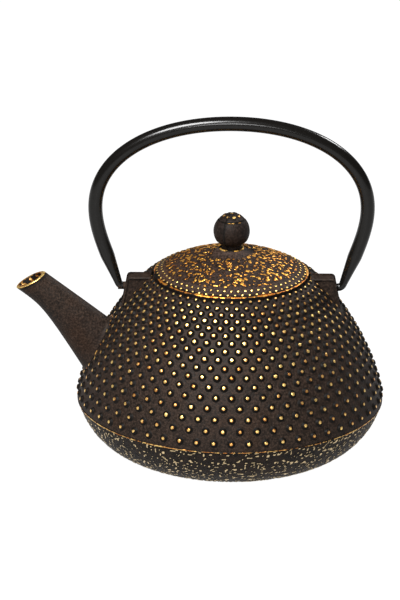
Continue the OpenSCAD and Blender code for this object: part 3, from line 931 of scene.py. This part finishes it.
def lid_piece(lid):
    """Lid: boss, mottled dome, worn rim, skirt and hollow underside, with the rivet's bore."""
    bore = RIVET_R + RIVET_FIT
    a, b = Vector((NECK_R + 2.3 * MM, LID_TOP - 0.8 * MM)), Vector((BOSS_R, dome_z(BOSS_R)))
    boss = [(bore, LID_TOP), (NECK_R + 1.3 * MM, LID_TOP), (NECK_R + 1.8 * MM, LID_TOP - 0.2 * MM)]
    slope = [a, a + Vector((0.9, -0.9)) * MM, b - Vector((2.2, -0.5)) * MM, b]
    boss += [tuple(on_curve(slope, i / 7)) for i in range(7)]
    dome = [(r, dome_z(r)) for r in (BOSS_R + (DOME_R - BOSS_R) * i / 62 for i in range(62))]
    rim = [(DOME_R + RIM_ROUND * math.sin(q), RIM_TOP - RIM_ROUND + RIM_ROUND * math.cos(q))
           for q in (math.radians(90) * i / 6 for i in range(7))]
    skirt = [(LID_R, FLANGE_TOP + 0.3 * MM), (LID_R - 0.3 * MM, FLANGE_TOP), (SKIRT_R, FLANGE_TOP),
             (SKIRT_R, LID_LOW + 0.4 * MM), (SKIRT_R - 0.4 * MM, LID_LOW), (SKIRT_IN, LID_LOW)]
    under = [(r, min(dome_z(r) - LID_WALL, UNDER_Z))
             for r in (SKIRT_IN + (FLAT_R - SKIRT_IN) * i / 22 for i in range(23))]
    profile = boss + dome + rim + skirt + under + [(bore, UNDER_Z)]
    last = len(boss) + len(dome) + len(rim)

    def shape(r, z, turn, i):
        at = polar(r, turn, z)
        if r < MOTTLE_START[0] or i >= last:
            return 0, 0
        if i >= last - len(rim) - 2:
            # The rim has no relief, and its gold is strongest on its rounded edge
            crest = 1 - abs(i - (last - 5)) / 8
            return 0, max(0, crest) * (0.74 + 0.5 * lumps(at, 12 * MM, 57) + 0.3 * lumps(at, 2 * MM, 58))
        blotches = lumps(at, lid.blotch, 51) + 0.5 * lumps(at, lid.blotch * 0.45, 53)
        zone = smooth(r, *MOTTLE_START) * (1 - smooth(r, *MOTTLE_END))
        high = smooth(blotches + 0.25 * (zone - 1), 0.11, 0.35) * min(1, 2 * zone)
        # The blotches' flanks take the painted shade, and 0.06 darkens the mottled zone a little with the
        # same colour.
        return lid.relief * high, 0.06 * zone + 0.86 * high

    return revolve("lid_casting", profile, sides=440, shape=shape, closed=True)


def knob_piece(knob):
    """Ball knob with its neck, the rivet's bore, two upright seams and a line under the crown."""
    middle = KNOB_TOP - BALL_R
    bore = RIVET_R + KNOB_FIT
    join = math.acos(NECK_R / BALL_R)
    profile = [(0, middle), (bore, middle), (bore, KNOB_LOW), (NECK_R - 0.3 * MM, KNOB_LOW),
               (NECK_R, KNOB_LOW + 0.3 * MM), (NECK_R, middle - BALL_R * math.sin(join) - 0.3 * MM)]
    neck = len(profile)
    steps = 84
    for i in range(steps + 1):
        q = -join + (math.pi / 2 + join) * i / steps
        profile.append((max(0, BALL_R * math.cos(q)) if i < steps else 0, middle + BALL_R * math.sin(q)))
    seam_turns = (math.radians(-115), math.radians(65))
    crown = math.radians(43)  # the crown line's angle above the ball's middle
    seam_w, line_w = 0.4 * MM, 0.35 * MM

    def shape(r, z, turn, i):
        if i < neck or r < 0.5 * MM:
            return 0, 0
        off = min(abs(math.sin((turn - s) / 2)) * 2 * r for s in seam_turns)
        rise = knob.seam * math.exp(-((off / seam_w) ** 2))
        q = math.asin(min(1, (z - middle) / BALL_R))
        rise -= knob.seam * math.exp(-(((q - crown) * BALL_R / line_w) ** 2))
        at = polar(r, turn, z)
        on_line = math.exp(-(((q - crown) * BALL_R / (0.5 * MM)) ** 2))
        # Painted shade: a dark line along each seam, and dark where the gold is thin in the groove under the
        # crown, in place of the shading of the ridge and the groove.
        seam_painted_shade = 0.2 * math.exp(-((off / (0.6 * MM)) ** 2))
        full = knob.skin * smooth(z, KNOB_LOW + 3 * MM, KNOB_LOW + 5 * MM)
        rub_and_shade = max(seam_painted_shade, on_line * (0.3 + 0.7 * lumps(at, 3 * MM, 63)))
        return full + rise + 0.06 * MM * lumps(at, 3 * MM, 61), rub_and_shade

    return revolve("ball_knob", profile, sides=200, shape=shape)


def ring_of(number, radius, z, tilt, phase=0.0):
    """Places round a ring: (point, normal tilted out from Z, scale, gold share)."""
    found = []
    for k in range(number):
        turn = FULL_TURN * (k + phase) / number - math.pi / 2
        at = polar(radius, turn, z)
        normal = polar(math.sin(tilt), turn, math.cos(tilt))
        found.append((at, normal, 1 + 0.12 * lumps(at, 2 * MM, 71), 1 + 0.3 * lumps(at, 6 * MM, 73)))
    return found


class TEAPOT_OT_lid(bpy.types.Operator):
    """Builds the lid with its mottled gold relief and its two rows of dots"""

    bl_idname = "teapot.lid"
    bl_label = "Lid"

    def execute(self, context):
        lid = context.scene.teapot_lid
        dark_grain_and_painted_shade = context.scene.teapot_pot.dark_grain_and_painted_shade
        mottled = cast_iron("cast_iron_lacquered_mottled", lid.iron, lid.gold, lid.worn, dark_grain_and_painted_shade)
        casting = lid_piece(lid)
        finish_piece(casting, "lid", "lid_iron", mottled)
        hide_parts("lid")
        places = []
        for row, r in enumerate(DOT_ROWS):
            places += ring_of(lid.dots_round, r, dome_z(r) - 0.02 * MM, math.asin(r / DOME_BALL), 0.5 * row)
        tip_gold = context.scene.teapot_pot.gold
        dotted = cast_iron("cast_iron_lacquered_dotted", lid.iron, tip_gold, lid.gold, dark_grain_and_painted_shade)
        shape = dome_profile(lid.dot_d, lid.dot_h, DOT_SHARES)
        dots = studs("lid_dots", places, shape, sides=10, sink=0.2 * MM)
        finish_piece(dots, "lid", "lid_iron", dotted)
        steps = 72
        path = [polar(BEAD_R, FULL_TURN * k / steps, LID_TOP + 0.05 * MM) for k in range(steps)]
        gold = [0.62 + 0.9 * lumps(p, 4 * MM, 79) for p in path]
        bead = tube("neck_bead", path, [0.5 * MM] * steps, [Vector((0, 0, 1))] * steps, sides=10, rub_and_shade=gold,
                    closed=True)
        finish_piece(bead, "lid", "lid_iron", dotted)
        return {"FINISHED"}


class TEAPOT_OT_knob(bpy.types.Operator):
    """Builds the ball knob with gold-tipped dots on its crown, and dresses its rivet and washer"""

    bl_idname = "teapot.knob"
    bl_label = "Knob"

    def execute(self, context):
        knob = context.scene.teapot_knob
        pot = context.scene.teapot_pot
        iron = cast_iron("cast_iron_lacquered_knob", knob.iron, pot.gold, pot.worn, pot.dark_grain_and_painted_shade)
        ball = knob_piece(knob)
        finish_piece(ball, "knob", "knob_iron", iron)
        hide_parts("lid_knob")
        middle = KNOB_TOP - BALL_R
        places = []
        crown_r = BALL_R + knob.skin
        for number, degrees, phase in ((1, 0, 0), (8, 26, 0.35)):
            a = math.radians(degrees)
            places += ring_of(number, crown_r * math.sin(a), middle + crown_r * math.cos(a), a, phase)
        shape = dome_profile(knob.dot_d, knob.dot_h, DOT_SHARES)
        dots = studs("crown_dots", places, shape, sides=12, sink=0.2 * MM)
        finish_piece(dots, "knob", "knob_iron", iron)
        headed = stainless("steel_cold_headed", linear("8f8f8d"), 0.35, 0.5, (1, 1, 1))
        for name in ("knob_rivet", "knob_washer"):
            dress(frame["nodes"][name], headed)
        return {"FINISHED"}


# Bail ----------------------------------------------------------------------------------

LEG_TAPER = 0.68  # share of a leg before its taper starts
ARCH_PULL = 0.59  # handles of the arch's curve, as a share of its half width and of its rise
SLIP = -0.2 * MM  # the bail hangs this far off the middle


def half_bail(bail):
    """Centreline from the top to the tip of the +X pin: (x, z, thickness)."""
    leg_lean, bend = math.radians(20), 2.8 * MM
    hook_x = FACE_X + 0.5 * MM + bail.hook_t / 2 * math.tan(LUG_SLOPE)
    hook_top = Vector((hook_x + bend * math.cos(leg_lean), PIVOT_Z + bend - bend * math.sin(leg_lean)))
    top = Vector((0, BAIL_TOP - bail.top_t / 2))
    side = Vector((bail.half_width, PIVOT_Z + bail.side_rise))
    arch = [top, top + Vector((ARCH_PULL * bail.half_width, 0)),
            side + Vector((0, ARCH_PULL * (top.y - side.y))), side]
    long = (side - hook_top).length
    up_leg = Vector((math.sin(leg_lean), math.cos(leg_lean)))
    leg = [side, side - Vector((0, 0.3 * long)), hook_top + 0.42 * long * up_leg, hook_top]
    path, arch_steps, leg_steps, bend_steps = [], 48, 36, 10
    for i in range(arch_steps + 1):
        t = i / arch_steps
        path.append((*on_curve(arch, t), bail.top_t + (bail.side_t - bail.top_t) * t))
    for i in range(1, leg_steps + 1):
        t = i / leg_steps
        taper = max(0, t - LEG_TAPER) / (1 - LEG_TAPER)
        path.append((*on_curve(leg, t), bail.side_t + (bail.hook_t - bail.side_t) * taper))
    for i in range(1, bend_steps + 1):
        a = leg_lean + (math.pi / 2 - leg_lean) * i / bend_steps
        path.append((hook_x + bend * math.cos(a), PIVOT_Z + bend - bend * math.sin(a), bail.hook_t))
    pin_end = FACE_X - PIN_LEN
    path += [(x, PIVOT_Z, 2 * PIN_R) for x in (hook_x - 0.2 * MM, hook_x - 3 * MM, pin_end + 0.4 * MM)]
    path.append((pin_end, PIVOT_Z, 2 * PIN_R - 0.8 * MM))
    return path


class TEAPOT_OT_bail(bpy.types.Operator):
    """Builds the bail handle: one tapered bar with hooked feet that end in pins"""

    bl_idname = "teapot.bail"
    bl_label = "Bail"

    def execute(self, context):
        bail = context.scene.teapot_bail
        half = half_bail(bail)
        whole = [(-x, z, t) for x, z, t in reversed(half[1:])] + half
        path = [Vector((x + SLIP, 0, z)) for x, z, _ in whole]
        bar = tube("bail_bar", path, [t / 2 for _, _, t in whole], [Vector((0, 1, 0))] * len(path), sides=40)
        finish_piece(bar, "handle", "bail_enamel", stoved_enamel(bail.enamel))
        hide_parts("bail_handle")
        return {"FINISHED"}


# Infuser -------------------------------------------------------------------------------


def wire_faces(start, sections, closed=False):
    """Faces of a four-sided wire whose points begin at start."""
    faces = []
    for i in range(sections if closed else sections - 1):
        a, b = start + 4 * i, start + 4 * ((i + 1) % sections)
        faces += [(a + k, a + (k + 1) % 4, b + (k + 1) % 4, b + k) for k in range(4)]
    if not closed:
        end = start + 4 * (sections - 1)
        faces += [(start + 3, start + 2, start + 1, start), tuple(end + k for k in range(4))]
    return faces


def woven_wall(infuser):
    """Plain weave round the basket: upright wires that pass inside and outside the level ones."""
    middle_r = MESH_R - MESH_T / 2
    uprights = 2 * round(math.pi * middle_r / infuser.pitch)
    levels = round((MESH_TOP - MESH_LOW) / infuser.pitch)
    wave = thick = infuser.wire_d / 2
    points, faces = [], []

    def wire(path, ups, closed):
        faces.extend(wire_faces(len(points), len(path), closed))
        for i, p in enumerate(path):
            side, other = square_to(path, i, ups[i], closed)
            for k in range(4):
                a = FULL_TURN * (k + 0.5) / 4
                points.append(p + thick * (math.cos(a) * side + math.sin(a) * other))

    heights = [MESH_LOW + (level + 0.5) * (MESH_TOP - MESH_LOW) / levels for level in range(levels)]
    for level, z in enumerate(heights):
        path, ups = [], []
        for k in range(uprights):
            a = FULL_TURN * k / uprights
            path.append(polar(middle_r + wave * (1 if (k + level) % 2 else -1), a, z))
            ups.append(Vector((0, 0, 1)))
        wire(path, ups, True)
    for k in range(uprights):
        a = FULL_TURN * k / uprights
        out = polar(1, a, 0)
        path = []
        for level, z in enumerate(heights):
            path.append((middle_r - wave * (1 if (k + level) % 2 else -1)) * out + Vector((0, 0, z)))
        wire(path, [out] * levels, False)
    return new_object("mesh_wall", points, faces, sharp=80)


def woven_base(infuser):
    """Flat plain weave, cut round."""
    middle = (BASE_LOW + BASE_TOP) / 2
    reach = CAP_R - SHEET_T - 0.2 * MM
    number = int(reach / infuser.pitch)
    wave = thick = infuser.wire_d / 2
    points, faces = [], []
    for across in (False, True):
        for i in range(-number, number + 1):
            half = math.sqrt(max(0, reach**2 - (i * infuser.pitch) ** 2))
            stops = [j for j in range(-number, number + 1) if abs(j * infuser.pitch) <= half]
            if len(stops) < 2:
                continue
            faces += wire_faces(len(points), len(stops))
            for j in stops:
                up = wave * (1 if (i + j + across) % 2 else -1)
                x, y = (i * infuser.pitch, j * infuser.pitch)
                for k in range(4):
                    a = FULL_TURN * (k + 0.5) / 4
                    p = (x + thick * math.cos(a), y, middle + up + thick * math.sin(a))
                    points.append((p[1], p[0], p[2]) if across else p)
    obj = new_object("mesh_base", points, faces, sharp=80)
    face_outwards(obj)
    return obj


class TEAPOT_OT_infuser(bpy.types.Operator):
    """Builds the infuser: rolled rim, woven wall, woven base and cap"""

    bl_idname = "teapot.infuser"
    bl_label = "Infuser"

    def execute(self, context):
        infuser = context.scene.teapot_infuser
        drawn = stainless("stainless_deep_drawn", infuser.sheet, 0.22, 0.36)
        woven = stainless("stainless_wire_woven", infuser.wire, 0.3, 0.42, (1, 1, 1))
        inner = CAP_R - SHEET_T
        roll, low_r, top_r = FLANGE_T / 2, 1.2 * MM, 1.6 * MM
        bead = [(FLANGE_R - roll + roll * math.cos(a), FLANGE_TOP - roll + roll * math.sin(a))
                for a in (math.pi * (0.5 - i / 8) for i in range(9))]
        bend = [(CAP_R + low_r - low_r * math.sin(a), SEAT_Z - low_r + low_r * math.cos(a))
                for a in (math.pi / 2 * i / 5 for i in range(6))]
        top_bend = [(inner + top_r - top_r * math.cos(a), FLANGE_TOP - top_r + top_r * math.sin(a))
                    for a in (math.pi / 2 * i / 6 for i in range(7))]
        profile = bead + bend + [(CAP_R, COLLAR_LOW), (inner, COLLAR_LOW)] + top_bend
        rim = revolve("infuser_rolled_rim", profile, sides=160, closed=True)
        finish_piece(rim, "infuser", "infuser_sheet", drawn)
        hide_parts("infuser_rim")

        lip = CAP_R - 5 * MM
        cap = [(CAP_R, CAP_TOP), (CAP_R, CAP_LOW + 0.6 * MM), (CAP_R - 0.2 * MM, CAP_LOW + 0.15 * MM),
               (CAP_R - 0.6 * MM, CAP_LOW), (lip + 0.2 * MM, CAP_LOW), (lip, CAP_LOW + 0.2 * MM),
               (lip, CAP_LOW + 0.5 * MM), (lip + 0.3 * MM, BASE_LOW), (inner, BASE_LOW), (inner, CAP_TOP)]
        cap_piece = revolve("infuser_cap", cap, sides=160, closed=True)
        finish_piece(cap_piece, "infuser", "infuser_sheet", drawn)
        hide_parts("infuser_base_cap")

        wall = woven_wall(infuser)
        face_outwards(wall)
        finish_piece(wall, "infuser", "infuser_mesh", woven)
        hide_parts("infuser_mesh_wall")
        base = woven_base(infuser)
        finish_piece(base, "infuser", "infuser_mesh", woven)
        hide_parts("infuser_base_mesh")
        return {"FINISHED"}


# Stage ---------------------------------------------------------------------------------

FLOOR_REACH, FLOOR_CELLS = 4.0, 16
LIGHT_AIM = (0, 0, 0.08)
LIGHTS = (  # name, watts, width and place
    ("overhead", 46, 0.55, (-0.32, -0.7, 1.15)),
    ("front", 10, 0.4, (0, -1.7, 0.75)),
    ("back", 9, 0.3, (0.75, 0.7, 0.9)),
)
ROOM_GLOW = 0.06


def area_light(name, power, width, place):
    """Round soft light that is turned to the pot."""
    light = bpy.data.lights.new(name, "AREA")
    light.shape = "DISK"
    light.size = width
    light.energy = power
    obj = bpy.data.objects.new(name, light)
    obj.location = place
    obj.rotation_euler = (Vector(LIGHT_AIM) - Vector(place)).to_track_quat("-Z", "Y").to_euler()
    bpy.context.scene.collection.objects.link(obj)


class TEAPOT_OT_stage(bpy.types.Operator):
    """Builds the white floor, the soft lights and the camera"""

    bl_idname = "teapot.stage"
    bl_label = "Stage"

    def execute(self, context):
        stage = context.scene.teapot_stage
        row = FLOOR_CELLS + 1
        marks = [-FLOOR_REACH + 2 * FLOOR_REACH / FLOOR_CELLS * i for i in range(row)]
        points = [(x, y, 0) for y in marks for x in marks]
        corners = [j * row + i for j in range(FLOOR_CELLS) for i in range(FLOOR_CELLS)]
        faces = [(a, a + 1, a + row + 1, a + row) for a in corners]
        floor = new_object("table_top", points, faces)
        dress(floor, opal_acrylic(stage.floor, stage.glow))

        world = bpy.data.worlds.new("soft_white")
        world.use_nodes = True
        background = world.node_tree.nodes["Background"]
        background.inputs["Color"].default_value = tint(linear("ffffff"))
        background.inputs["Strength"].default_value = ROOM_GLOW
        context.scene.world = world
        for light in LIGHTS:
            area_light(*light)

        lens = bpy.data.cameras.new("camera")
        lens.lens = stage.lens
        lens.clip_start, lens.clip_end = 0.05, 50
        camera = bpy.data.objects.new("camera", lens)
        look = Matrix.Rotation(math.pi / 2 - stage.height_angle, 3, "X")
        look = look @ Matrix.Rotation(stage.roll, 3, "Z")
        right, up, back = (look.col[i].copy() for i in range(3))
        lid_rim = Vector((0, 0, RIM_TOP))
        camera.location = lid_rim - stage.aim_right * right - stage.aim_up * up + stage.distance * back
        camera.rotation_euler = look.to_euler()
        context.scene.collection.objects.link(camera)
        context.scene.camera = camera
        context.scene.view_settings.view_transform = "Standard"
        return {"FINISHED"}


# Panel ---------------------------------------------------------------------------------


class TEAPOT_PT_panel(bpy.types.Panel):
    """Lists the teapot's operators and settings in the sidebar"""

    bl_idname = "TEAPOT_PT_panel"
    bl_label = "Teapot"
    bl_space_type = "VIEW_3D"
    bl_region_type = "UI"
    bl_category = "Teapot"

    def draw(self, context):
        for operator in OPERATORS:
            self.layout.operator(operator.bl_idname)
        for name in SETTINGS:
            group = getattr(context.scene, name)
            box = self.layout.box()
            for field in group.__annotations__:
                box.prop(group, field)


OPERATORS = [TEAPOT_OT_pot, TEAPOT_OT_lid, TEAPOT_OT_knob, TEAPOT_OT_bail, TEAPOT_OT_infuser, TEAPOT_OT_stage]
CLASSES = [*SETTINGS.values(), *OPERATORS, TEAPOT_PT_panel]


def register():
    for cls in CLASSES:
        bpy.utils.register_class(cls)
    for name, group in SETTINGS.items():
        setattr(bpy.types.Scene, name, PointerProperty(type=group))


def unregister():
    for name in SETTINGS:
        delattr(bpy.types.Scene, name)
    for cls in reversed(CLASSES):
        bpy.utils.unregister_class(cls)


def main():
    register()
    bpy.ops.teapot.stage()
    bpy.ops.teapot.pot()
    bpy.ops.teapot.lid()
    bpy.ops.teapot.knob()
    bpy.ops.teapot.bail()
    bpy.ops.teapot.infuser()


if __name__ == "__main__":
    main()
